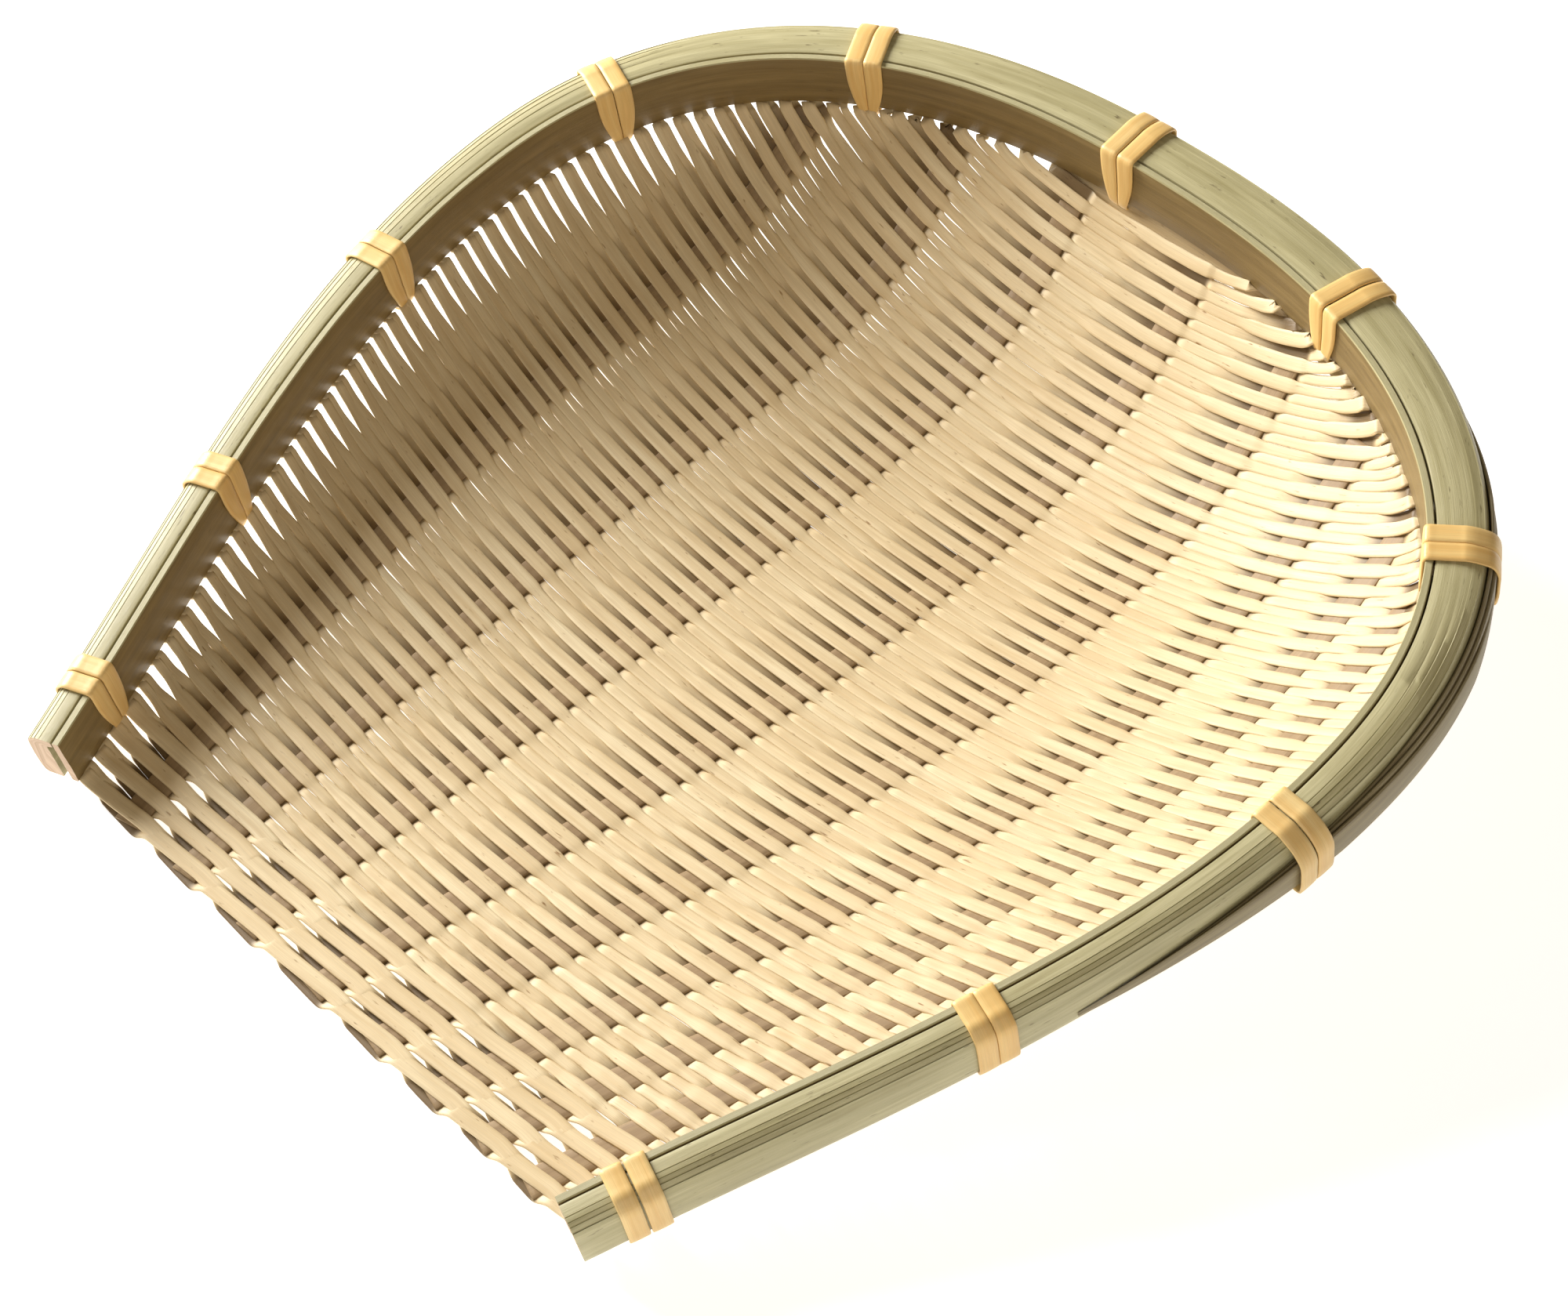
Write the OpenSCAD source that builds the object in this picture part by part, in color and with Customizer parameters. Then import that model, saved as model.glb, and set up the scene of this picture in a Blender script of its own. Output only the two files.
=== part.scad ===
// Winnowing basket: a horseshoe rim of split bamboo, a woven tray and rattan lashings.
// The rim lies in one plane, which rises from the mouth to the back.
// x is across, y runs from the mouth to the back and z is up. The basket stands on its woven floor.

/* [Plan] */
// Width inside the rim at the mouth
mouth_w = 210; // [190:1:230]
// Greatest width inside the rim
body_w = 339; // [320:1:360]
// Distance from the mouth to the greatest width
widest_y = 225; // [205:1:240]
// Length inside the rim
body_len = 357; // [340:1:375]

/* [Tray] */
// Depth of the woven floor under the rim's top at the mouth
mouth_depth = 22; // [21:0.5:26]
// Fall of the floor for each mm towards the back
floor_slope = 0.17; // [0.12:0.01:0.24]
// Squareness of the tray's cross-section
wall_power = 2.6; // [2:0.1:4]
// How far a weft's ends run back past its middle
weft_bow = 20; // [0:1:26]
// Thickness of the woven wefts
weft_t = 2.4; // [1.8:0.1:2.6]

/* [Ribs] */
// Rib width
rib_w = 9; // [6:0.5:12]
// Rib thickness
rib_t = 1.15; // [0.8:0.05:1.6]

/* [Rim] */
// Height of the hoops
hoop_h = 20; // [16:0.5:21]
// Thickness of the inner hoop
inner_t = 2.3; // [1.6:0.1:2.4]
// Thickness of the outer hoop at the two ends
outer_t = 7; // [5:0.1:8]
// Thickness that the outer hoop gains at the back
outer_swell = 9; // [3:0.1:10]
// Thickness of each strip in the lap on the right
lap_t = 1.2; // [0.9:0.1:1.6]

/* [Lashings] */
// Width of one lashing strand
lash_w = 5.8; // [4:0.1:6.2]
// Thickness of a lashing strand
lash_t = 0.9; // [0.6:0.1:1.2]

/* [Hidden] */

half_b = body_w / 2;
half_m = mouth_w / 2;
back_len = body_len - widest_y;
corner = 2.35;               // squareness of the back of the plan
slot_in = inner_t + 0.2;     // the weave's edge stands in this slot between the hoops
slot_out = 5;
edge_d = 22;                 // depth of the weave where it turns up under the inner hoop
tilt = atan(floor_slope);
band_y = [13, 42, 72, 102, 132, 162, 192, 222, 252, 281, 306, 328, 348];
rib_mouth = [-84, -58, -30, -1, 24, 48, 68, 87];      // across the mouth, left to right
rib_back = [-121, -75, -30, 20, 64, 100, 130, 148];   // across the widest part
lip_in = inner_t + 0.5;      // the outer hoop's top closes over the slot
lash_s = [-0.95, -0.79, -0.59, -0.4, -0.24, -0.035, 0.17, 0.35, 0.54, 0.75, 0.96];
rim_s = [for (i = [0 : 64]) -1 + i / 32];

bamboo = [0.72, 0.70, 0.50];
bamboo_dark = [0.47, 0.42, 0.26];
weave_color = [0.93, 0.83, 0.62];
rib_color = [0.86, 0.74, 0.52];
lash_color = [0.96, 0.76, 0.40];

// Plan of the rim's inner edge: half its width at y
function arm_x(t) = let(a = 1 - t, lean = half_m + 0.36 * widest_y / 3)
    a * a * a * half_m + 3 * a * a * t * lean + (3 * a * t * t + t * t * t) * half_b;
function half_w(y) = y < widest_y
    ? arm_x(max(0, y) / widest_y)
    : half_b * pow(max(0, 1 - pow(min(1, (y - widest_y) / back_len), corner)), 1 / corner);

// Point on the rim's inner edge. s runs from -1 at the left end, by 0 at the back, to 1
function rim_xy(s) = let(m = abs(s), side = s < 0 ? -1 : 1)
    m > 0.5
    ? [side * arm_x(2 - 2 * m), widest_y * (2 - 2 * m)]
    : let(
        a = 90 * (1 - 2 * m),
        r = pow(pow(cos(a) / half_b, corner) + pow(sin(a) / back_len, corner), -1 / corner)
    ) [side * r * cos(a), widest_y + r * sin(a)];
function rim_dir(s) = let(
        a = rim_xy(max(-1, s - 0.004)),
        b = rim_xy(min(1, s + 0.004))
    ) (b - a) / norm(b - a);
function rim_out(s) = let(d = rim_dir(s)) [-d[1], d[0]];
function rim_pt(s, off, depth, along = 0) = let(
        p = rim_xy(s) + off * rim_out(s) + along * rim_dir(s)
    ) [p[0], p[1], -depth];

// The rim's full width over its top
function swell(s) = let(u = s < 0.12 ? (0.12 - s) / 1.1 : (s - 0.12) / 0.55)
    0.5 + 0.5 * cos(180 * min(1, u));
function rim_w(s) = slot_out + outer_t + outer_swell * swell(s);

// Depth of the weave's middle surface under the rim's plane
function spread(x, y) = y < widest_y
    ? abs(x) / half_w(y)
    : pow(pow(abs(x) / half_b, corner) + pow((y - widest_y) / back_len, corner), 1 / corner);
function depth_at(x, y) = let(u = min(1, spread(x, y)), low = mouth_depth + floor_slope * y)
    edge_d + (low - edge_d) * (1 - pow(u, wall_power));
function normal_at(x, y) = let(
        gx = (depth_at(x + 0.5, y) - depth_at(x - 0.5, y)),
        gy = (depth_at(x, y + 0.5) - depth_at(x, y - 0.5)),
        n = [gx, gy, 1]
    ) n / norm(n);
function tray_pt(x, y, up) = [x, y, -depth_at(x, y)] + up * normal_at(x, y);

// From the rim's plane to the resting basket
out_x = [for (s = rim_s) rim_pt(s, rim_w(s) + lap_at(s), 0)[0]];
out_y = [for (s = rim_s) for (d = [0, hoop_h]) tip(rim_pt(s, rim_w(s), d))[1]];
shift_x = -(max(out_x) + min(out_x)) / 2;
shift_y = -(max(out_y) + min(out_y)) / 2;
lift = mouth_depth * cos(tilt) + rib_t + 0.65;
function lap_at(s) = s > 0.2 && s < 0.6 ? 3 * lap_t + 0.4 : 0;
function tip(p) = [
    p[0],
    p[1] * cos(tilt) - p[2] * sin(tilt),
    p[1] * sin(tilt) + p[2] * cos(tilt)
];
function place(p) = tip(p) + [shift_x, shift_y, lift];

// A solid through rings of equal size. A closed one joins its last ring to its first
module skin(rings, closed = false) {
    n = len(rings[0]);
    m = len(rings);
    last = closed ? m - 1 : m - 2;
    sides = [
        for (i = [0 : last], j = [0 : n - 1])
            let(
                a = i * n + j,
                b = i * n + (j + 1) % n,
                c = ((i + 1) % m) * n + (j + 1) % n,
                d = ((i + 1) % m) * n + j
            )
            each [[a, b, c], [a, c, d]]
    ];
    caps = closed ? [] : [
        for (j = [1 : n - 2])
            each [[0, j + 1, j], [(m - 1) * n, (m - 1) * n + j, (m - 1) * n + j + 1]]
    ];
    polyhedron(points = [for (r = rings, p = r) place(p)], faces = concat(sides, caps), convexity = 8);
}

// Rim
module inner_hoop() {
    color(bamboo_dark)
        skin([for (s = rim_s) [
            rim_pt(s, 0, 0),
            rim_pt(s, 0, hoop_h),
            rim_pt(s, inner_t, hoop_h),
            rim_pt(s, inner_t, 0)
        ]]);
}

module outer_hoop() {
    color(bamboo)
        skin([for (s = rim_s) let(w = rim_w(s), t = w - slot_out) [
            rim_pt(s, slot_out, 3),
            rim_pt(s, slot_out, hoop_h),
            rim_pt(s, w - 0.12 * t, hoop_h),
            rim_pt(s, w, hoop_h - 2.5),
            rim_pt(s, w, 5),
            rim_pt(s, w - 0.08 * t, 2.4),
            rim_pt(s, w - 0.3 * t, 0.8),
            rim_pt(s, w - 0.6 * t, 0),
            rim_pt(s, lip_in, 0.2),
            rim_pt(s, lip_in, 2.4)
        ]]);
}

// One long strip outside the hoop, tapered at both ends
module lap_strip(i) {
    s0 = [0.2, 0.25, 0.3][i];
    s1 = [0.63, 0.66, 0.69][i];
    drop = [3.4, 4.6, 5.8][i];
    gap = 0.1;
    color(bamboo)
        skin([for (k = [0 : 18]) let(
            s = s0 + (s1 - s0) * k / 18,
            e = min(1, min(k + 0.6, 18.6 - k) / 4),
            a = rim_w(s) + gap + i * (lap_t + gap) * min(1, (k + 1) / 4) * min(1, (19 - k) / 3),
            b = a + lap_t * e
        ) [
            rim_pt(s, a, drop + 4 - 3 * e),
            rim_pt(s, a, hoop_h - 4 + 3 * e),
            rim_pt(s, b, hoop_h - 4 + 3 * e),
            rim_pt(s, b, drop + 4 - 3 * e)
        ]]);
}

// Weave: the edge of every piece turns up into the slot between the hoops
function turn_up(s) = [
    [rim_pt(s, slot_in, edge_d - 2.2), rim_pt(s, slot_out - 0.1, edge_d - 0.6)],
    [rim_pt(s, slot_in, hoop_h - 3), rim_pt(s, slot_out - 0.1, hoop_h - 3)],
    [rim_pt(s, slot_in, 4), rim_pt(s, slot_out - 0.1, 4)]
];

// A rib fans out from the mouth to the widest part, then runs straight back to the rim
function rib_end(i) = widest_y
    + back_len * pow(1 - pow(abs(rib_back[i]) / 169.5, corner), 1 / corner);
function rib_x(i, y) = let(
        t = sin(90 * min(1, max(0, y) / 200)),
        f = rib_mouth[i] / 105 * (1 - t) + rib_back[i] / 169.5 * t
    ) f * half_w(min(y, widest_y));
function rib_ring(i, y) = let(
        x = rib_x(i, y),
        dx = (rib_x(i, y + 1) - rib_x(i, y - 1)) / 2,
        a = atan(dx),
        slope = (depth_at(x + 1, y) - depth_at(x - 1, y)) / 2,
        h = rib_w / 2 / sqrt(1 + slope * slope),
        l = [x - h * cos(a), y + h * sin(a)],
        r = [x + h * cos(a), y - h * sin(a)]
    ) [
        tray_pt(l[0], l[1], -0.65),
        tray_pt(r[0], r[1], -0.65),
        tray_pt(r[0], r[1], -0.65 - rib_t),
        tray_pt(l[0], l[1], -0.65 - rib_t)
    ];

module rib(i) {
    y1 = rib_end(i) - 7;
    color(rib_color)
        skin([for (k = [0 : 26]) rib_ring(i, 1 + (y1 - 1) * k / 26)]);
}

// A band of neighbouring wefts between two distances from the mouth
function bow(y) = weft_bow * sin(90 * min(1, y / 170)) * sin(90 * min(1, (body_len - y) / 110));
function weft_xy(q, y) = let(v = y + bow(y) * q * q) [q * half_w(v), v];
function weft_s(side, y) = let(
        v = y + bow(y),
        a = atan2(v - widest_y, half_w(v))
    ) side * (v < widest_y ? 1 - v / widest_y / 2 : (1 - a / 90) / 2);

function weft_ring(q, ys, t) = concat(
    [for (y = ys) let(p = weft_xy(q, y)) tray_pt(p[0], p[1], t - 0.6)],
    [for (k = [len(ys) - 1 : -1 : 0]) let(p = weft_xy(q, ys[k])) tray_pt(p[0], p[1], -0.6)]
);
function turn_ring(side, ys, k) = concat(
    [for (y = ys) turn_up(weft_s(side, y))[k][0]],
    [for (j = [len(ys) - 1 : -1 : 0]) turn_up(weft_s(side, ys[j]))[k][1]]
);

module weft_band(y0, y1, t = weft_t) {
    ys = [y0 + 0.05, (y0 + y1) / 2, y1 - 0.05];
    steps = 22;
    color(weave_color)
        skin(concat(
            [for (k = [2 : -1 : 0]) turn_ring(-1, ys, k)],
            [for (i = [0 : steps]) weft_ring(0.995 * (2 * i / steps - 1), ys, t)],
            [for (k = [0 : 2]) turn_ring(1, ys, k)]
        ));
}

// The last band closes the tray under the back of the rim
module back_band(y0) {
    steps = 16;
    s1 = weft_s(1, y0);
    ss = [for (i = [0 : steps]) s1 * (2 * i / steps - 1)];
    color(weave_color)
        skin([for (i = [0 : steps]) let(
            s = ss[i],
            q = 0.98 * (2 * i / steps - 1),
            p = weft_xy(q, y0),
            u = turn_up(s)
        ) [
            tray_pt(p[0], p[1] + 0.05, weft_t - 0.6),
            u[0][0], u[2][0], u[2][1], u[0][1],
            tray_pt(p[0], p[1] + 0.05, -0.6)
        ]]);
}

module mouth_selvedge() {
    weft_band(0, band_y[0], weft_t);
}

// One lashing: two strands side by side around the hoops, through the weave under the inner hoop
module lashing(s) {
    w = rim_w(s) + lap_at(s);
    c = 0.15;
    loop = [
        [-c, -c, 1], [-c, 9, 0.95], [-c, 16, 0.8], [-c - 0.2, hoop_h + c, 0.55],
        [0.6, edge_d + 2.4, 0.4], [slot_out, edge_d + 1.6, 0.55],
        [w - 1.2, hoop_h + c + 0.2, 1], [w + c, hoop_h - 2.5, 1],
        [w + c, 4.5, 1], [w - 1.2, 1.4, 1], [w - 4.5, -c, 1]
    ];
    out = [
        [-1, -1], [-1, 0], [-1, 0.1], [-1, 0.3], [-0.8, 0.9], [0, 1],
        [0.5, 1], [1, 0.5], [1, -0.3], [0.8, -0.8], [0.2, -1]
    ];
    color(lash_color)
        for (side = [-1, 1])
            skin([for (i = [0 : len(loop) - 1]) let(
                p = loop[i],
                q = [p[0], p[1]] + lash_t * out[i],
                mid = side * (lash_w / 2 + 0.15) * p[2],
                h = lash_w / 2 * p[2]
            ) [
                rim_pt(s, p[0], p[1], mid - h),
                rim_pt(s, p[0], p[1], mid + h),
                rim_pt(s, q[0], q[1], mid + h),
                rim_pt(s, q[0], q[1], mid - h)
            ]], closed = true);
}

inner_hoop();
outer_hoop();
lap_strip(0);  // lap_strip_1
lap_strip(1);  // lap_strip_2
lap_strip(2);  // lap_strip_3
rib(0);  // rib_1
rib(1);  // rib_2
rib(2);  // rib_3
rib(3);  // rib_4
rib(4);  // rib_5
rib(5);  // rib_6
rib(6);  // rib_7
rib(7);  // rib_8
mouth_selvedge();
weft_band(band_y[0], band_y[1]);  // weft_band_01
weft_band(band_y[1], band_y[2]);  // weft_band_02
weft_band(band_y[2], band_y[3]);  // weft_band_03
weft_band(band_y[3], band_y[4]);  // weft_band_04
weft_band(band_y[4], band_y[5]);  // weft_band_05
weft_band(band_y[5], band_y[6]);  // weft_band_06
weft_band(band_y[6], band_y[7]);  // weft_band_07
weft_band(band_y[7], band_y[8]);  // weft_band_08
weft_band(band_y[8], band_y[9]);  // weft_band_09
weft_band(band_y[9], band_y[10]);  // weft_band_10
weft_band(band_y[10], band_y[11]);  // weft_band_11
back_band(band_y[11]);  // weft_band_12
lashing(lash_s[0]);  // lashing_01
lashing(lash_s[1]);  // lashing_02
lashing(lash_s[2]);  // lashing_03
lashing(lash_s[3]);  // lashing_04
lashing(lash_s[4]);  // lashing_05
lashing(lash_s[5]);  // lashing_06
lashing(lash_s[6]);  // lashing_07
lashing(lash_s[7]);  // lashing_08
lashing(lash_s[8]);  // lashing_09
lashing(lash_s[9]);  // lashing_10
lashing(lash_s[10]);  // lashing_11
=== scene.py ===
import math
import bpy
import numpy as np
from mathutils import Matrix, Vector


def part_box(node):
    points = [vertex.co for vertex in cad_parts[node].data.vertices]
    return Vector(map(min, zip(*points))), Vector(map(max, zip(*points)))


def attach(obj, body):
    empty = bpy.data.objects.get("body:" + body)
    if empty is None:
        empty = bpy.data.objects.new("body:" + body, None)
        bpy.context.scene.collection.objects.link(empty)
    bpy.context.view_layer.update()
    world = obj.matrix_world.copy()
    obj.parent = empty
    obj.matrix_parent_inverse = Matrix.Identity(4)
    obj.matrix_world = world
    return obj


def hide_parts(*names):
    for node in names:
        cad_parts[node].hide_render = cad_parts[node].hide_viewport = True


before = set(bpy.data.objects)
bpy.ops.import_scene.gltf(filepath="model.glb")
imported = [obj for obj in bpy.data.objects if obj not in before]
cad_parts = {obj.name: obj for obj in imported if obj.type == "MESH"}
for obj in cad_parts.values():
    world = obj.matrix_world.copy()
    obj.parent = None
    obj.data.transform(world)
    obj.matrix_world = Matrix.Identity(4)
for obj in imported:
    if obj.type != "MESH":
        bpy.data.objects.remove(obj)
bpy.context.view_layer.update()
rng = np.random.default_rng(11)

# ---------------------------------------------------------------- shape of the basket, mm
HALF_M, HALF_B = 105.0, 169.5      # half width inside the rim: at the mouth, at the widest
WIDEST, LENGTH, CORNER = 225.0, 357.0, 2.35
BACK = LENGTH - WIDEST
MOUTH_D, SLOPE, POWER, BOW = 22.0, 0.17, 2.6, 20.0
HOOP_H, INNER_T, SLOT_OUT, EDGE_D = 20.0, 2.3, 5.0, 22.0
TILT = math.atan(SLOPE)
LIFT = MOUTH_D * math.cos(TILT) + 1.8
RIB_MOUTH = np.array([-84, -58, -30, -1, 24, 48, 68, 87.0])
RIB_BACK = np.array([-121, -75, -30, 20, 64, 100, 130, 148.0])
N_RIBS = len(RIB_MOUTH)
LASH = [-0.95, -0.79, -0.59, -0.4, -0.24, -0.035, 0.17, 0.35, 0.54, 0.75, 0.96]


def arm_x(t):
    a = 1 - t
    lean = HALF_M + 0.36 * WIDEST / 3
    return a**3 * HALF_M + 3 * a * a * t * lean + (3 * a * t * t + t**3) * HALF_B


def half_w(y):
    y = np.asarray(y, float)
    u = np.clip((y - WIDEST) / BACK, 0, 1)
    back = HALF_B * np.maximum(0, 1 - u**CORNER) ** (1 / CORNER)
    return np.where(y < WIDEST, arm_x(np.clip(y, 0, WIDEST) / WIDEST), back)


def rim_xy(s):
    s = np.asarray(s, float)
    m = np.abs(s)
    side = np.where(s < 0, -1.0, 1.0)
    t = np.clip(2 - 2 * m, 0, 1)
    a = np.radians(90 * (1 - 2 * np.minimum(m, 0.5)))
    r = ((np.cos(a) / HALF_B) ** CORNER + (np.sin(a) / BACK) ** CORNER) ** (-1 / CORNER)
    x = np.where(m > 0.5, arm_x(t), r * np.cos(a))
    y = np.where(m > 0.5, WIDEST * t, WIDEST + r * np.sin(a))
    return np.stack([side * x, y], -1)


def rim_dir(s):
    d = rim_xy(np.minimum(1, np.asarray(s) + 0.006)) - rim_xy(np.maximum(-1, np.asarray(s) - 0.006))
    return d / np.linalg.norm(d, axis=-1, keepdims=True)


def rim_out(s):
    d = rim_dir(s)
    return np.stack([-d[..., 1], d[..., 0]], -1)


def rim_pt(s, off, depth, along=0.0):
    s, off, depth, along = np.broadcast_arrays(s, off, depth, along)
    p = rim_xy(s) + off[..., None] * rim_out(s) + along[..., None] * rim_dir(s)
    return np.concatenate([p, -depth[..., None]], -1)


def rim_w(s):
    s = np.asarray(s, float)
    u = np.where(s < 0.12, (0.12 - s) / 1.1, (s - 0.12) / 0.55)
    return SLOT_OUT + 7.0 + 9.0 * (0.5 + 0.5 * np.cos(np.pi * np.minimum(1, u)))


def spread(x, y):
    near = np.abs(x) / np.maximum(half_w(np.minimum(y, WIDEST)), 1)
    far = ((np.abs(x) / HALF_B) ** CORNER + (np.maximum(0, y - WIDEST) / BACK) ** CORNER) ** (1 / CORNER)
    return np.where(y < WIDEST, near, far)


def depth_at(x, y):
    u = np.minimum(1, spread(x, y))
    return EDGE_D + (MOUTH_D + SLOPE * y - EDGE_D) * (1 - u**POWER)


def normal_at(x, y):
    gx = (depth_at(x + 1, y) - depth_at(x - 1, y)) / 2
    gy = (depth_at(x, y + 1) - depth_at(x, y - 1)) / 2
    n = np.stack([gx, gy, np.ones_like(gx)], -1)
    return n / np.linalg.norm(n, axis=-1, keepdims=True)


def bow(y):
    return BOW * math.sin(math.pi / 2 * min(1, y / 170)) * math.sin(math.pi / 2 * min(1, (LENGTH - y) / 110))


def tip(p):
    p = np.asarray(p, float)
    c, s = math.cos(TILT), math.sin(TILT)
    return np.stack([p[..., 0], p[..., 1] * c - p[..., 2] * s, p[..., 1] * s + p[..., 2] * c], -1)


# The CAD model centres its box on the origin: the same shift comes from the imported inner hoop
hoop_lo, hoop_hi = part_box("outer_hoop")
inner_lo, inner_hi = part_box("inner_hoop")
_s = np.linspace(-1, 1, 1601)
_in = np.concatenate([tip(rim_pt(_s, o, d)) for o in (0.0, INNER_T) for d in (0.0, HOOP_H)])
SHIFT = np.array([(inner_lo[0] + inner_hi[0]) * 500 - (_in[:, 0].max() + _in[:, 0].min()) / 2,
                  (inner_lo[1] + inner_hi[1]) * 500 - (_in[:, 1].max() + _in[:, 1].min()) / 2, LIFT])


def place(p):
    return (tip(p) + SHIFT) / 1000


# ---------------------------------------------------------------- mesh helpers
class Soup:
    """Gathers swept strands into one mesh with a strand coordinate: along (m), across, random, and a
    per-vertex amount of painted shade.
    """

    def __init__(self):
        self.v, self.f, self.st, self.low, self.n, self.ends = [], [], [], [], 0, []

    def sweep(self, centre, up, width, thick, section, closed=False, rand=0.5, low=0.0):
        centre = np.asarray(centre, float)
        if closed:
            tan = np.roll(centre, -1, 0) - np.roll(centre, 1, 0)
        else:
            tan = np.gradient(centre, axis=0)
        tan /= np.maximum(np.linalg.norm(tan, axis=1, keepdims=True), 1e-9)
        side = np.cross(tan, up)
        side /= np.maximum(np.linalg.norm(side, axis=1, keepdims=True), 1e-9)
        top = np.cross(side, tan)
        n, m = len(centre), len(section)
        width = np.broadcast_to(width, n)
        thick = np.broadcast_to(thick, n)
        sec = np.asarray(section, float)
        pts = (centre[:, None, :]
               + side[:, None, :] * (sec[None, :, 0:1] * width[:, None, None] / 2)
               + top[:, None, :] * (sec[None, :, 1:2] * thick[:, None, None] / 2))
        run = np.concatenate([[0], np.cumsum(np.linalg.norm(np.diff(centre, axis=0), axis=1))]) / 1000
        st = np.zeros((n, m, 3))
        st[..., 0] = run[:, None]
        st[..., 1] = sec[None, :, 0] * width[:, None] / 2000
        st[..., 2] = rand
        self._rings(place(pts), st, closed, low)

    def _rings(self, pts, st, closed, low=0.0):
        n, m = pts.shape[:2]
        self.low.append(np.repeat(np.broadcast_to(low, n), m))
        base = self.n
        self.v.append(pts.reshape(-1, 3))
        self.st.append(st.reshape(-1, 3))
        self.n += n * m
        i = np.arange(n if closed else n - 1)[:, None]
        j = np.arange(m)[None, :]
        a, b = base + i * m + j, base + i * m + (j + 1) % m
        c, d = base + ((i + 1) % n) * m + (j + 1) % m, base + ((i + 1) % n) * m + j
        quads = np.stack(np.broadcast_arrays(a, b, c, d), -1).reshape(-1, 4)
        self.f += quads[:, ::-1].tolist()
        if not closed:
            self.ends += [len(self.f), len(self.f) + 1]
            self.f.append(list(range(base, base + m)))
            self.f.append(list(range(base + (n - 1) * m, base + n * m))[::-1])

    def make(self, name, material, replaces=(), auto=None, end_material=None):
        mesh = bpy.data.meshes.new(name)
        v = np.concatenate(self.v)
        mesh.from_pydata(v.tolist(), [], self.f)
        att = mesh.attributes.new("st", "FLOAT_VECTOR", "POINT")
        att.data.foreach_set("vector", np.concatenate(self.st).astype(np.float32).ravel())
        mesh.polygons.foreach_set("use_smooth", [True] * len(mesh.polygons))
        if auto is not None:
            mesh.set_sharp_from_angle(angle=math.radians(auto))
        low = mesh.attributes.new("low", "FLOAT", "POINT")
        low.data.foreach_set("value", np.concatenate(self.low).astype(np.float32))
        mesh.materials.append(material)
        if end_material is not None:
            mesh.materials.append(end_material)
            for k in self.ends:
                mesh.polygons[k].material_index = 1
        mesh.update()
        ob = bpy.data.objects.new(name, mesh)
        bpy.context.scene.collection.objects.link(ob)
        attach(ob, "root")
        if replaces:
            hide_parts(*replaces)
        return ob


def smooth_noise(n, knots, amount):
    """A smooth random run of n values."""
    k = rng.normal(0, amount, knots + 3)
    return np.interp(np.linspace(0, knots + 2, n), np.arange(knots + 3), k)


STRIP = [(-1, -0.3), (-0.99, 0.35), (-0.93, 0.8), (-0.6, 0.97), (0, 1.02), (0.6, 0.97),
         (0.93, 0.8), (0.99, 0.35),
         (1, -0.3), (0.86, -0.86), (0, -1), (-0.86, -0.86)]
FLAT = [(-1, -0.7), (-1, 0.6), (-0.94, 1), (-0.4, 1.02), (0.4, 1.02), (0.94, 1), (1, 0.6),
        (1, -0.7), (0.92, -1), (-0.92, -1)]

# ---------------------------------------------------------------- materials
def nodes_of(name):
    mat = bpy.data.materials.new(name)
    mat.use_nodes = True
    nt = mat.node_tree
    nt.nodes.clear()
    out = nt.nodes.new("ShaderNodeOutputMaterial")
    bsdf = nt.nodes.new("ShaderNodeBsdfPrincipled")
    nt.links.new(bsdf.outputs[0], out.inputs[0])
    return mat, nt, bsdf


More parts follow.
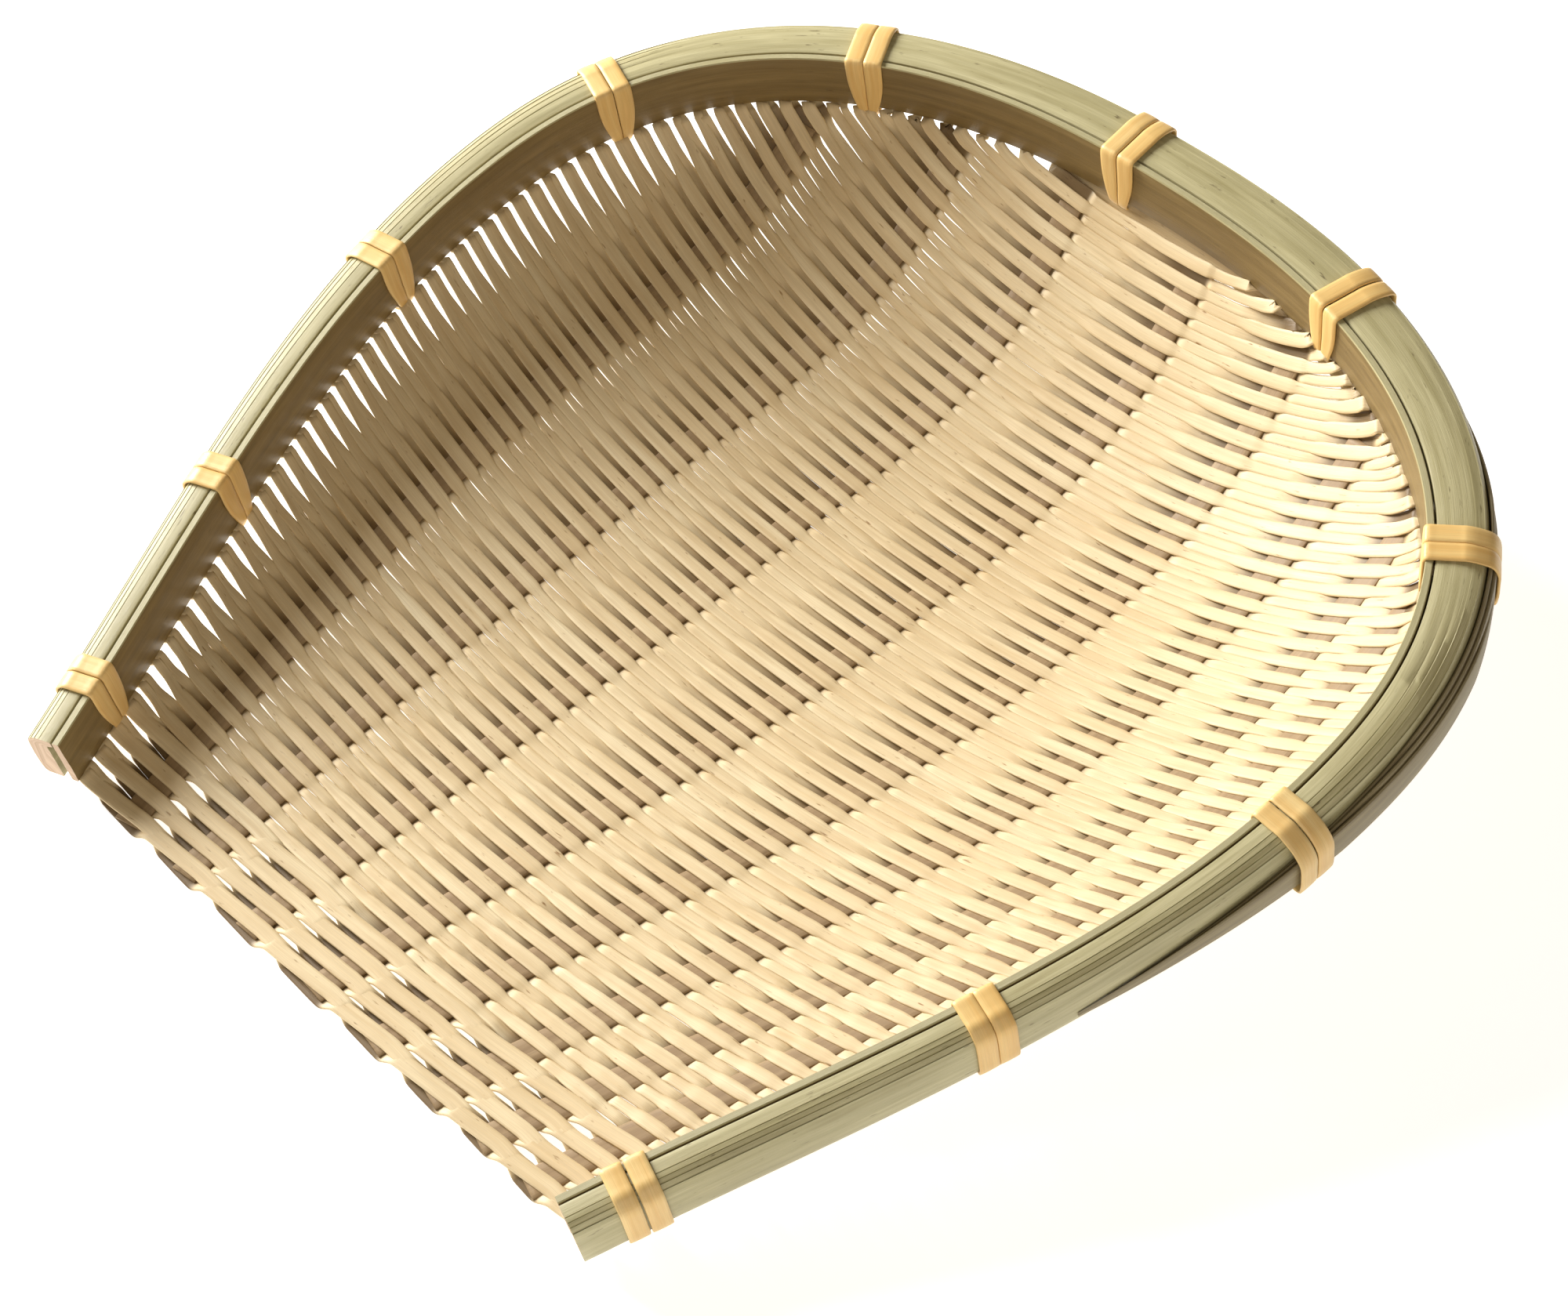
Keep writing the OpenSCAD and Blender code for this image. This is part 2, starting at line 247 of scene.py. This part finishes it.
def fibre_material(name, dark, mid, light, rough=0.5, streak=1.0, bump=0.25,
                   spots=0.0, spot_color=(0.1, 0.06, 0.02), hollow_shade=None):
    """Split bamboo or rattan: long fibres along the strand, tone that changes from strand to strand. A last
    colour, when given, is painted shade (partly dust), multiplied in by the mesh's per-vertex shade mask.
    """
    mat, nt, bsdf = nodes_of(name)
    N, L = nt.nodes.new, nt.links.new
    att = N("ShaderNodeAttribute")
    att.attribute_name = "st"
    sep = N("ShaderNodeSeparateXYZ")
    L(att.outputs["Vector"], sep.inputs[0])

    def coords(ka, kc, kr):
        comb = N("ShaderNodeCombineXYZ")
        for k, s in zip((ka, kc, kr), range(3)):
            m = N("ShaderNodeMath")
            m.operation = "MULTIPLY"
            m.inputs[1].default_value = k
            L(sep.outputs[s], m.inputs[0])
            L(m.outputs[0], comb.inputs[s])
        return comb

    def noise(src, detail):
        n = N("ShaderNodeTexNoise")
        n.inputs["Scale"].default_value = 1.0
        n.inputs["Detail"].default_value = detail
        n.inputs["Roughness"].default_value = 0.55
        L(src.outputs[0], n.inputs["Vector"])
        return n

    fine = noise(coords(60, 5200, 91), 4)
    broad = noise(coords(28, 420, 57), 3)
    strand = noise(coords(6, 0, 133), 1)

    def mix(a, b, fac_src, k, off=0.0):
        m = N("ShaderNodeMapRange")
        m.inputs["From Min"].default_value = 0.5 - k
        m.inputs["From Max"].default_value = 0.5 + k
        m.inputs["To Min"].default_value = off
        L(fac_src.outputs[0], m.inputs["Value"])
        mx = N("ShaderNodeMix")
        mx.data_type = "RGBA"
        L(m.outputs[0], mx.inputs["Factor"])
        for sock, val in ((mx.inputs[6], a), (mx.inputs[7], b)):
            if isinstance(val, tuple):
                sock.default_value = (*val, 1)
            else:
                L(val, sock)
        return mx.outputs[2]

    col = mix(mid, light, strand, 0.22)
    col = mix(dark, col, broad, 0.28 / streak)
    fdark = tuple(c * 0.72 for c in mid)
    col = mix(fdark, col, fine, 0.16 / streak, 0.35)
    if spots:
        sp = noise(coords(190, 900, 77), 2)
        m = N("ShaderNodeMapRange")
        m.inputs["From Min"].default_value = 0.72 - 0.08 * spots
        m.inputs["From Max"].default_value = 0.80
        L(sp.outputs[0], m.inputs["Value"])
        mx = N("ShaderNodeMix")
        mx.data_type = "RGBA"
        L(m.outputs[0], mx.inputs["Factor"])
        L(col, mx.inputs[6])
        mx.inputs[7].default_value = (*spot_color, 1)
        col = mx.outputs[2]
    # Painted shade, partly dust: the colour is multiplied towards a dark brown where a strand dips under a
    # rib, for the shade in the weave's hollows.
    if hollow_shade is not None:
        lo = N("ShaderNodeAttribute")
        lo.attribute_name = "low"
        mx = N("ShaderNodeMix")
        mx.data_type = "RGBA"
        mx.blend_type = "MULTIPLY"
        L(lo.outputs["Fac"], mx.inputs["Factor"])
        L(col, mx.inputs[6])
        mx.inputs[7].default_value = (*hollow_shade, 1)
        col = mx.outputs[2]
    L(col, bsdf.inputs["Base Color"])
    rr = N("ShaderNodeMapRange")
    rr.inputs["To Min"].default_value = rough - 0.08
    rr.inputs["To Max"].default_value = rough + 0.14
    L(broad.outputs[0], rr.inputs["Value"])
    L(rr.outputs[0], bsdf.inputs["Roughness"])
    bp = N("ShaderNodeBump")
    bp.inputs["Strength"].default_value = bump
    bp.inputs["Distance"].default_value = 0.0003
    L(fine.outputs[0], bp.inputs["Height"])
    L(bp.outputs[0], bsdf.inputs["Normal"])
    return mat


# The last colour is painted shade, partly dust, multiplied in where strands dip under a rib.
WEAVE = fibre_material("split_bamboo_weave",
                       (0.62, 0.45, 0.23), (0.84, 0.67, 0.41), (0.93, 0.82, 0.57), 0.50, 1.0, 0.3,
                       0.5, (0.32, 0.18, 0.07), (0.22, 0.17, 0.10))
# Painted shade: the ribs get a dark brown, for the shadowed gaps between the floats where they show.
RIB_SHADE = fibre_material("rib_bamboo_painted_shade", (0.24, 0.15, 0.07), (0.36, 0.24, 0.12), (0.46, 0.33, 0.18), 0.55)
RIM = fibre_material("hoop_bamboo", (0.32, 0.28, 0.13), (0.52, 0.47, 0.26), (0.62, 0.58, 0.35),
                     0.42, 1.2, 0.35, 0.6, (0.12, 0.09, 0.04))
# Painted shade: a darkened copy of the hoop bamboo, for the shade on the inner hoop's faces.
INNER_SHADE = fibre_material("inner_hoop_painted_shade", (0.14, 0.09, 0.03), (0.25, 0.17, 0.06), (0.34, 0.25, 0.11),
                       0.45, 1.1, 0.3, 0.6, (0.12, 0.08, 0.03))
# Painted shade: the lap strips get a bamboo much darker than the hoop's, for their shaded outer faces.
LAP_SHADE = fibre_material("lap_bamboo_painted_shade", (0.14, 0.10, 0.05), (0.30, 0.25, 0.13), (0.42, 0.36, 0.21), 0.48, 1.1, 0.3)
GRAIN = fibre_material("bamboo_end_grain", (0.45, 0.28, 0.16), (0.72, 0.52, 0.36), (0.85, 0.68, 0.52),
                       0.7, 1.4, 0.5)
RATTAN = fibre_material("rattan_lashing", (0.72, 0.40, 0.11), (0.91, 0.63, 0.24), (0.97, 0.80, 0.42),
                        0.38, 0.8, 0.25)

# ---------------------------------------------------------------- hoops
hoop_s = np.linspace(-1, 1, 521)
SAMPLE_RING = 200      # the ring that gives the distance round the profile
SHARP_ANGLE = 38       # degrees


def hoop_mesh(name, profile, replaces, material, pale=()):
    """A hoop swept along the rim. profile(s) gives its ring of (off, depth) pairs, and the faces that
    start at the ring places in pale get the rim's paler material; the others keep the given material, which
    for the inner hoop is darkened to paint in shade."""
    soup = Soup()
    rings = []
    for off, depth in profile(hoop_s):
        rings.append(rim_pt(hoop_s, off, depth))
    pts = np.stack(rings, 1)
    run = np.concatenate([[0], np.cumsum(np.linalg.norm(np.diff(pts[:, 0], axis=0), axis=1))]) / 1000
    perim = np.concatenate([[0], np.cumsum(np.linalg.norm(np.diff(pts[SAMPLE_RING], axis=0), axis=1))]) / 1000
    st = np.zeros(pts.shape)
    st[..., 0] = run[:, None]
    st[..., 1] = perim[None, :]
    st[..., 2] = rng.random()
    soup._rings(place(pts), st, False)
    ob = soup.make(name, material, replaces, SHARP_ANGLE, GRAIN)
    ob.data.materials.append(RIM)
    for k in [k for k in range((len(pts) - 1) * pts.shape[1]) if k % pts.shape[1] in pale]:
        ob.data.polygons[k].material_index = 2
    return ob


def inner_profile(s):
    t = INNER_T
    return [(0.25 + 0 * s, 0 * s), (0 * s, 0.5 + 0 * s), (0 * s, 6 + 0 * s),
            (-0.25 + 0 * s, 12 + 0 * s), (0 * s, HOOP_H - 0.6 + 0 * s),
            (0.3 + 0 * s, HOOP_H + 0 * s), (t - 0.3 + 0 * s, HOOP_H + 0 * s),
            (t + 0 * s, HOOP_H - 0.5 + 0 * s), (t + 0 * s, 0.4 + 0 * s), (t - 0.3 + 0 * s, 0 * s)]


def outer_profile(s):
    w = rim_w(s)
    t = w - SLOT_OUT
    z = 0 * s
    g = 0.5 * np.clip((np.abs(s - 0.02) - 0.36) / 0.12, 0, 1)      # the splits between the hoop's long fibres
    top = []
    for a, d in ((0.14, 2.0), (0.33, 0.85), (0.52, 0.35), (0.74, 0.1)):
        top += [(w - (a - 0.018) * t, d + z),
                (w - a * t, d + g * (1.3 - a)), (w - (a + 0.018) * t, d - 0.02 + z)]
    return [(SLOT_OUT + z, 3.2 + z), (SLOT_OUT + z, HOOP_H - 0.4 + z), (SLOT_OUT + 0.08 * t, HOOP_H + z),
            (w - 0.22 * t, HOOP_H + z), (w - 0.08 * t, HOOP_H - 0.9 + z), (w, HOOP_H - 3.5 + z),
            (w + 0.15, 11 + z), (w, 7 + z),
            (w - 0.035 * t, 4.0 + z), (w - 0.085 * t, 2.7 + z)] + top + [
            (3.6 + z, 0.02 + z), (3.0 + z, 0.2 + z), (2.8 + z, 0.7 + z), (2.8 + z, 2.4 + z)]


# The inner hoop's sides get the darkened bamboo that paints in their shade; its top faces (0, 8, 9) keep the
# hoop's own bamboo.
hoop_mesh("hoop_inner", inner_profile, ["inner_hoop"], INNER_SHADE, (0, 8, 9))
hoop_mesh("hoop_outer", outer_profile, ["outer_hoop"], RIM)


def lap(i):
    s0, s1 = [(0.2, 0.66), (0.25, 0.68), (0.3, 0.7)][i]
    drop = (3.4, 4.6, 5.8)[i]
    n = 160
    k = np.linspace(0, 18, n)
    s = s0 + (s1 - s0) * k / 18
    e = np.minimum(1, np.minimum((k + 0.3) / 5, (18.3 - k) / 8.5))
    a = rim_w(s) + 0.15 + i * 1.3 * e
    t = 1.2 * np.sqrt(e)
    top = drop + (HOOP_H - 5.5 - drop) * (1 - e)
    bot = HOOP_H - 3.5 + 2.0 * e
    ring = [(a, top + 0.3), (a, bot - 0.3), (a + 0.3 * t, bot), (a + 0.8 * t, bot - 0.2),
            (a + t, bot - 1.0), (a + t + 0.1, (top + bot) / 2), (a + t, top + 1.0),
            (a + 0.8 * t, top + 0.3), (a + 0.4 * t, top)]
    pts = np.stack([rim_pt(s, o, d) for o, d in ring], 1)
    soup = Soup()
    st = np.zeros(pts.shape)
    st[..., 0] = np.linspace(0, 0.2, n)[:, None]
    st[..., 1] = (np.arange(len(ring)) * 0.003)[None, :]
    st[..., 2] = 0.2 + 0.3 * i
    soup._rings(place(pts), st, False)
    soup.make(f"lap_{i + 1}", LAP_SHADE, [f"lap_strip_{i + 1}"], SHARP_ANGLE)


for i in range(3):
    lap(i)

# ---------------------------------------------------------------- ribs
def rib_x(j, y):
    t = np.sin(np.pi / 2 * np.clip(y / 200, 0, 1))
    f = RIB_MOUTH[j] / HALF_M * (1 - t) + RIB_BACK[j] / HALF_B * t
    return f * half_w(np.minimum(y, WIDEST))


def surface(x, y, h):
    return np.stack([x, y, -depth_at(x, y)], -1) + np.asarray(h)[..., None] * normal_at(x, y)


for j in range(N_RIBS):
    xb = abs(RIB_BACK[j])
    yend = WIDEST + BACK * (1 - (xb / HALF_B) ** CORNER) ** (1 / CORNER)
    y = np.linspace(0.8, yend - 5.5, 190)
    x = rib_x(j, y)
    soup = Soup()
    w = 8.6 + smooth_noise(190, 9, 0.25)
    soup.sweep(surface(x, y, 0 * y), normal_at(x, y), w, 0.9, FLAT, rand=rng.random())
    soup.make(f"rib_strip_{j + 1}", RIB_SHADE, [f"rib_{j + 1}"])

# ---------------------------------------------------------------- wefts
yy = np.linspace(0, LENGTH, 3000)
dd = depth_at(0 * yy, yy)
arc = np.concatenate([[0], np.cumsum(np.hypot(np.diff(yy), np.diff(dd)))])
PITCH = 3.38           # from weft to weft
FIRST_WEFT = 1.6       # from the mouth to the first one
EDGE_ROWS = 8          # strips in the mouth's twined rows, two to a row
n_weft = int((arc[-1] - FIRST_WEFT) / PITCH)
weft_y = np.interp(FIRST_WEFT + PITCH * np.arange(n_weft), arc, yy)


def steps(p, knots, values):
    """A run through the values at the knots, eased between them."""
    r = values[0] + 0 * p
    for a, b, u, w in zip(knots, knots[1:], values, values[1:]):
        t = np.clip((p - a) / (b - a), 0, 1)
        r = r + (w - u) * t * t * (3 - 2 * t)
    return r


def crossing(x, y, i):
    """Height (-1 under a rib, 1 over it), float width and sideways lean of strip i, column by column."""
    xs = np.stack([rib_x(j, y) for j in range(N_RIBS)])
    xs = np.concatenate([[xs[0] - (xs[1] - xs[0])], xs, [xs[-1] + (xs[-1] - xs[-2])]])
    h, w, lean = 0 * x, 0 * x, 0 * x
    for k in range(N_RIBS + 1):
        g = xs[k + 1] - xs[k]
        p = x - xs[k]
        here = ((p >= 0) | (k == 0)) & ((p < g) | (k == N_RIBS))
        p = np.clip(p, 0, g)
        late = 0.2 * np.clip((x - 20) / 80, 0, 1)      # on the right the strips stay level for longer
        knots = [0 * g, np.minimum(4.4, 0.18 * g), np.minimum(7.6, 0.3 * g),
                 (0.42 + late) * g, (0.6 + 0.8 * late) * g, g - np.minimum(5, 0.2 * g), g]
        if (k - 1 + i) % 2 == 0:
            hs = [1, 0.95, 0.5, 0.42, -0.6, -1, -1]
            ws = [1, 1, 0.15, 0.05, 0.5, 0.7, 0.7]
        else:
            hs = [-1, -1, 0.3, 0.45, 0.75, 1, 1]
            ws = [0.7, 0.6, -0.65 if k in (1, 2) else 0.05, 0.1, 0.85, 1, 1]
        if k == 0:      # between the left hoop and the first rib
            hs, ws = [0.42] * 4 + hs[4:], [0.05] * 4 + ws[4:]
        if k == N_RIBS:      # between the last rib and the right hoop
            hs, ws = hs[:3] + [0.42] * 4, ws[:3] + [0.05] * 4
        hh, ww = steps(p, knots, hs), steps(p, knots, ws)
        r = np.clip((p - 4.4) / g, 0, 1)
        r = np.where(p < 4.4, 1 - (4.4 - p) / g, r)
        up = ((k - 1 + i) % 2 == 0) == (p < 4.4)
        h, w = np.where(here, hh, h), np.where(here, ww, w)
        lean = np.where(here, np.where(up, 2 * r - 1, 1 - 2 * r), lean)
    return h, w, lean


def soften(a, k=3):
    ker = np.hanning(2 * k + 1)[1:-1]
    return np.convolve(np.pad(a, k - 1, mode="edge"), ker / ker.sum(), mode="valid")


def weft(soup, i):
    y0 = weft_y[i]
    b = bow(y0)
    par = -1 if i % 2 else 1
    q = np.linspace(-0.999, 0.999, 300)
    v = y0 + b * q * q
    x = q * half_w(v)
    wave, swell, lean = crossing(x, v, i)
    wave, swell = soften(wave), soften(swell)
    thick = 0.78 + 0.1 * rng.random()
    wide_f = 4.6 + rng.normal(0, 0.12)
    steep = normal_at(x, v)[:, 2]
    near = (1 - spread(x, v)) * 150
    pair = np.clip((16.5 - near) / 11, 0, 1) * np.where(q < 0, 1.0, 0.0) * np.clip((342 - v) / 40, 0, 1)
    pair = pair + 0.55 * np.clip((9 - near) / 8, 0, 1) * (q > 0) * np.clip((300 - v) / 40, 0, 1)
    calm = 1 - 0.35 * np.clip((x - 30) / 90, 0, 1)
    if i < EDGE_ROWS:
        v = FIRST_WEFT + PITCH * (i // 2 * 2 + 0.5) + b * q * q + 0.8 * soften(lean, 4)
        wave = soften(np.where(lean * 0 + crossing(x, v, i)[0] > 0, 1.0, -1.0), 5)
        thick, pair = 1.0, 0 * pair
    v = v + (smooth_noise(len(q), 12, 0.1) + par * 0.85 * pair * pair * (3 - 2 * pair)) * steep
    wide = PITCH + (wide_f - PITCH) * swell - 0.4 * pair
    lift = 0.45 + thick / 2 + 0.03
    if i < EDGE_ROWS:
        wide = 6.2 - 1.1 * wave
    tuck = 1.2 * np.clip(1 - near / 8, 0, 1) ** 2
    h = lift * wave * calm + smooth_noise(len(q), 16, 0.03) + tuck
    # Painted shade, partly dust: the strand darkens as it dips under a rib, most at the rib.
    low = np.clip(-wave, 0, 1) ** 1.6
    mid = surface(x, v, h)
    mid[:, 2] += 1.9 * np.clip(1 - near / 7, 0, 1) ** 2 * np.clip((x + 50) / 60, 0, 1)
    up = normal_at(x, v)

    # Both ends pass under the inner hoop and turn up into the slot
    def turn(side):
        vv = min(y0 + b, LENGTH - 0.5)
        if vv < WIDEST:
            s = side * (1 - vv / WIDEST / 2)
        else:
            s = side * (1 - math.degrees(math.atan2(vv - WIDEST, float(half_w(vv)))) / 90) / 2
        dep = np.array([EDGE_D + 0.2, EDGE_D - 0.6, 19.3, 15.5, 11.5, 8, 3.4 + 1.2 * rng.random()])
        off = np.array([1.7, 3.0, 3.55, 3.6, 3.6, 3.6, 3.6]) - par * 0.25
        k = len(dep)
        along = np.full(k, par * side * -0.8)
        if side < 0:
            along = along * 1.35
        else:
            dep[:2] -= 1.5
        p = rim_pt(np.full(k, s), off, dep, along)
        n = np.concatenate([-rim_out(np.full(k, s)), np.array([[2.5], [0.8], [0.1], [0], [0], [0], [0]])], 1)
        return p, n / np.linalg.norm(n, axis=1, keepdims=True)

    pl, nl = turn(-1)
    pr, nr = turn(1)
    mid = np.concatenate([pl[::-1], mid, pr])
    up = np.concatenate([nl[::-1], up, nr])
    ends = np.full(len(pl), 3.1)
    wide = np.concatenate([ends - 0.6 * pair[0], wide, ends])
    low = np.concatenate([0 * ends, low, 0 * ends])
    soup.sweep(mid, up, wide, thick, STRIP, rand=rng.random(), low=low)


cad_bands = ["mouth_selvedge"] + [f"weft_band_{k:02d}" for k in range(1, 13)]
groups = [13, 42, 72, 102, 132, 162, 192, 222, 252, 281, 306, 328, 400]
start = 0
for k, name in enumerate(cad_bands):
    soup = Soup()
    last = groups[k]
    i = start
    while i < n_weft and weft_y[i] < last:
        weft(soup, i)
        i += 1
    start = i
    if name == cad_bands[-1]:
        # Two flat strips run along the back and right under the hoops and close the weave's edge
        for drop, off in ((21.6, 2.6), (24.4, 0.9)):
            s = np.linspace(-0.1, 0.62, 220)
            n = np.concatenate([-rim_out(s) * 1.4, np.ones((220, 1))], 1)
            n /= np.linalg.norm(n, axis=1, keepdims=True)
            # They carry a fixed share of painted shade, for the shade under the hoops.
            soup.sweep(rim_pt(s, off, drop), n, 4.6, 0.7, FLAT, rand=rng.random(), low=0.35)
    soup.make(f"wefts_{k:02d}", WEAVE, [name])

# ---------------------------------------------------------------- lashings
def closed_curve(points, n):
    p = np.asarray(points, float)
    k = len(p)
    t = np.linspace(0, k, n, endpoint=False)
    i = t.astype(int)
    f = (t - i)[:, None]
    p0, p1, p2, p3 = p[(i - 1) % k], p[i % k], p[(i + 1) % k], p[(i + 2) % k]
    return 0.5 * (2 * p1 + (p2 - p0) * f + (2 * p0 - 5 * p1 + 4 * p2 - p3) * f**2
                  + (3 * p1 - p0 - 3 * p2 + p3) * f**3)


for k, s in enumerate(LASH):
    soup = Soup()
    w = float(rim_w(s))
    t = w - SLOT_OUT
    more = {0.35: 2.5, 0.54: 4.0}.get(s, 0.0)      # room for the lap strips outside the hoop
    c = 0.62
    loop = [(0.4, -c, 1), (-c * 0.7, 0.2, 1), (-c, 2.5, 1), (-c, 8, 0.97), (-c, 13, 0.86),
            (-c - 0.1, 18, 0.66), (-0.3, HOOP_H + 1.6, 0.5),
            (1.6, EDGE_D + 2.0, 0.42), (4.5, EDGE_D + 1.2, 0.55),
            (w - 0.3 * t, HOOP_H + 1.2, 0.9), (w - 0.7 + more, HOOP_H + 0.6, 1),
            (w + more + c - 0.1, HOOP_H - 2.5, 1),
            (w + more + c, 12, 1), (w + 0.9 * more + c, 6.5, 1),
            (w + 0.2 + 0.3 * more, 2.4, 1), (w - 0.24 * t, 0.3, 1), (w - 0.5 * t, -c, 1),
            (0.5 * w, -c, 1), (3, -c, 1)]
    curve = closed_curve(loop, 96)
    centre2 = np.array([w / 2, 10.0])
    for sgn in (-1, 1):
        along = sgn * 3.15 * curve[:, 2] + rng.normal(0, 0.15)
        mid = rim_pt(np.full(96, s), curve[:, 0], curve[:, 1], along)
        # Outward normal of the loop in its own plane
        d2 = np.roll(curve[:, :2], -1, 0) - np.roll(curve[:, :2], 1, 0)
        n2 = np.stack([-d2[:, 1], d2[:, 0]], 1)
        n2 /= np.linalg.norm(n2, axis=1, keepdims=True)
        away = ((curve[:, :2] - centre2) * n2).sum(1).mean()
        n2 *= 1 if away > 0 else -1
        out3 = rim_out(np.full(96, s))
        up = np.concatenate([out3 * n2[:, :1], -n2[:, 1:2]], 1)
        soup.sweep(mid, up, 6.1 * curve[:, 2], 1.05, STRIP, closed=True, rand=rng.random())
    soup.make(f"lashing_pair_{k + 1:02d}", RATTAN, [f"lashing_{k + 1:02d}"])

# ---------------------------------------------------------------- floor, light, camera
def simple_material(name, color, rough):
    mat, nt, bsdf = nodes_of(name)
    n = nt.nodes.new("ShaderNodeTexNoise")
    n.inputs["Scale"].default_value = 3.0
    r = nt.nodes.new("ShaderNodeMapRange")
    r.inputs["To Min"].default_value = rough
    r.inputs["To Max"].default_value = rough + 0.1
    nt.links.new(n.outputs[0], r.inputs["Value"])
    nt.links.new(r.outputs[0], bsdf.inputs["Roughness"])
    bsdf.inputs["Base Color"].default_value = (*color, 1)
    return mat


floor_mesh = bpy.data.meshes.new("floor")
floor_mesh.from_pydata([(-6, -6, 0), (6, -6, 0), (6, 6, 0), (-6, 6, 0)], [], [(0, 1, 2, 3)])
floor = bpy.data.objects.new("floor", floor_mesh)
paper = simple_material("pale_floor", (0.9, 0.9, 0.89), 0.8)
bsdf = [n for n in paper.node_tree.nodes if n.type == "BSDF_PRINCIPLED"][0]
bsdf.inputs["Emission Color"].default_value = (1, 1, 1, 1)
bsdf.inputs["Emission Strength"].default_value = 0.72
floor_mesh.materials.append(paper)
bpy.context.scene.collection.objects.link(floor)


def area(name, loc, target, size, power, color=(1, 1, 1)):
    lamp = bpy.data.lights.new(name, "AREA")
    lamp.shape = "DISK"
    lamp.size = size
    lamp.energy = power
    lamp.color = color
    ob = bpy.data.objects.new(name, lamp)
    bpy.context.scene.collection.objects.link(ob)
    loc, target = np.array(loc, float), np.array(target, float)
    z = loc - target
    z /= np.linalg.norm(z)
    x = np.cross([0, 0, 1.0], z)
    x /= np.linalg.norm(x)
    y = np.cross(z, x)
    m = Matrix.Identity(4)
    for r in range(3):
        m[r][0], m[r][1], m[r][2], m[r][3] = x[r], y[r], z[r], loc[r]
    ob.matrix_world = m


area("key", (-1.84, -0.22, 0.88), (0, 0, 0.03), 1.1, 102, (1.0, 0.985, 0.95))
area("fill", (1.3, -1.1, 0.95), (0, 0, 0.03), 1.4, 10, (1.0, 0.95, 0.86))
world = bpy.data.worlds.new("studio")
world.use_nodes = True
wt = world.node_tree
soft = wt.nodes["Background"]                       # warm, dim light from all round
soft.inputs[0].default_value = (1.0, 0.80, 0.54, 1)
soft.inputs[1].default_value = 0.19
pale = wt.nodes.new("ShaderNodeBackground")         # what shows behind the basket
pale.inputs[0].default_value = (0.93, 0.93, 0.92, 1)
both = wt.nodes.new("ShaderNodeMixShader")
path = wt.nodes.new("ShaderNodeLightPath")
wt.links.new(path.outputs["Is Camera Ray"], both.inputs[0])
wt.links.new(soft.outputs[0], both.inputs[1])
wt.links.new(pale.outputs[0], both.inputs[2])
wt.links.new(both.outputs[0], wt.nodes["World Output"].inputs[0])
bpy.context.scene.world = world
bpy.context.scene.view_settings.view_transform = "Standard"

# Camera: the viewing direction relative to the rim's plane, then tipped with the basket
FOCAL, FRAME_WIDTH, SENSOR = 3970, 2000, 36.0      # pixels, pixels, mm
CAM_DIST, CAM_SIDE, MOUTH_Y = 878.37, 0.040275, -156.117      # mm, share of the distance, mm
AZ, EL, ROLL = math.radians(54.47), math.radians(55.89), math.radians(-12.24)
d = np.array([math.sin(AZ) * math.cos(EL), -math.cos(AZ) * math.cos(EL), math.sin(EL)])
fw = -d
right = np.cross(fw, [0, 0, 1.0])
right /= np.linalg.norm(right)
up = np.cross(right, fw)
r2 = math.cos(ROLL) * right + math.sin(ROLL) * up
u2 = -math.sin(ROLL) * right + math.cos(ROLL) * up
centre = (d + np.array([CAM_SIDE, 0, 0])) * CAM_DIST
centre[1] -= MOUTH_Y
cam_data = bpy.data.cameras.new("camera")
cam_data.sensor_width = SENSOR
cam_data.sensor_fit = "HORIZONTAL"
cam_data.lens = FOCAL / FRAME_WIDTH * SENSOR
cam_data.clip_start, cam_data.clip_end = 0.01, 50
cam = bpy.data.objects.new("camera", cam_data)
m = Matrix.Identity(4)
cols = [tip(r2), tip(u2), tip(-fw), place(centre)]
for c in range(4):
    for r in range(3):
        m[r][c] = float(cols[c][r])
cam.matrix_world = m
bpy.context.scene.collection.objects.link(cam)
bpy.context.scene.camera = cam
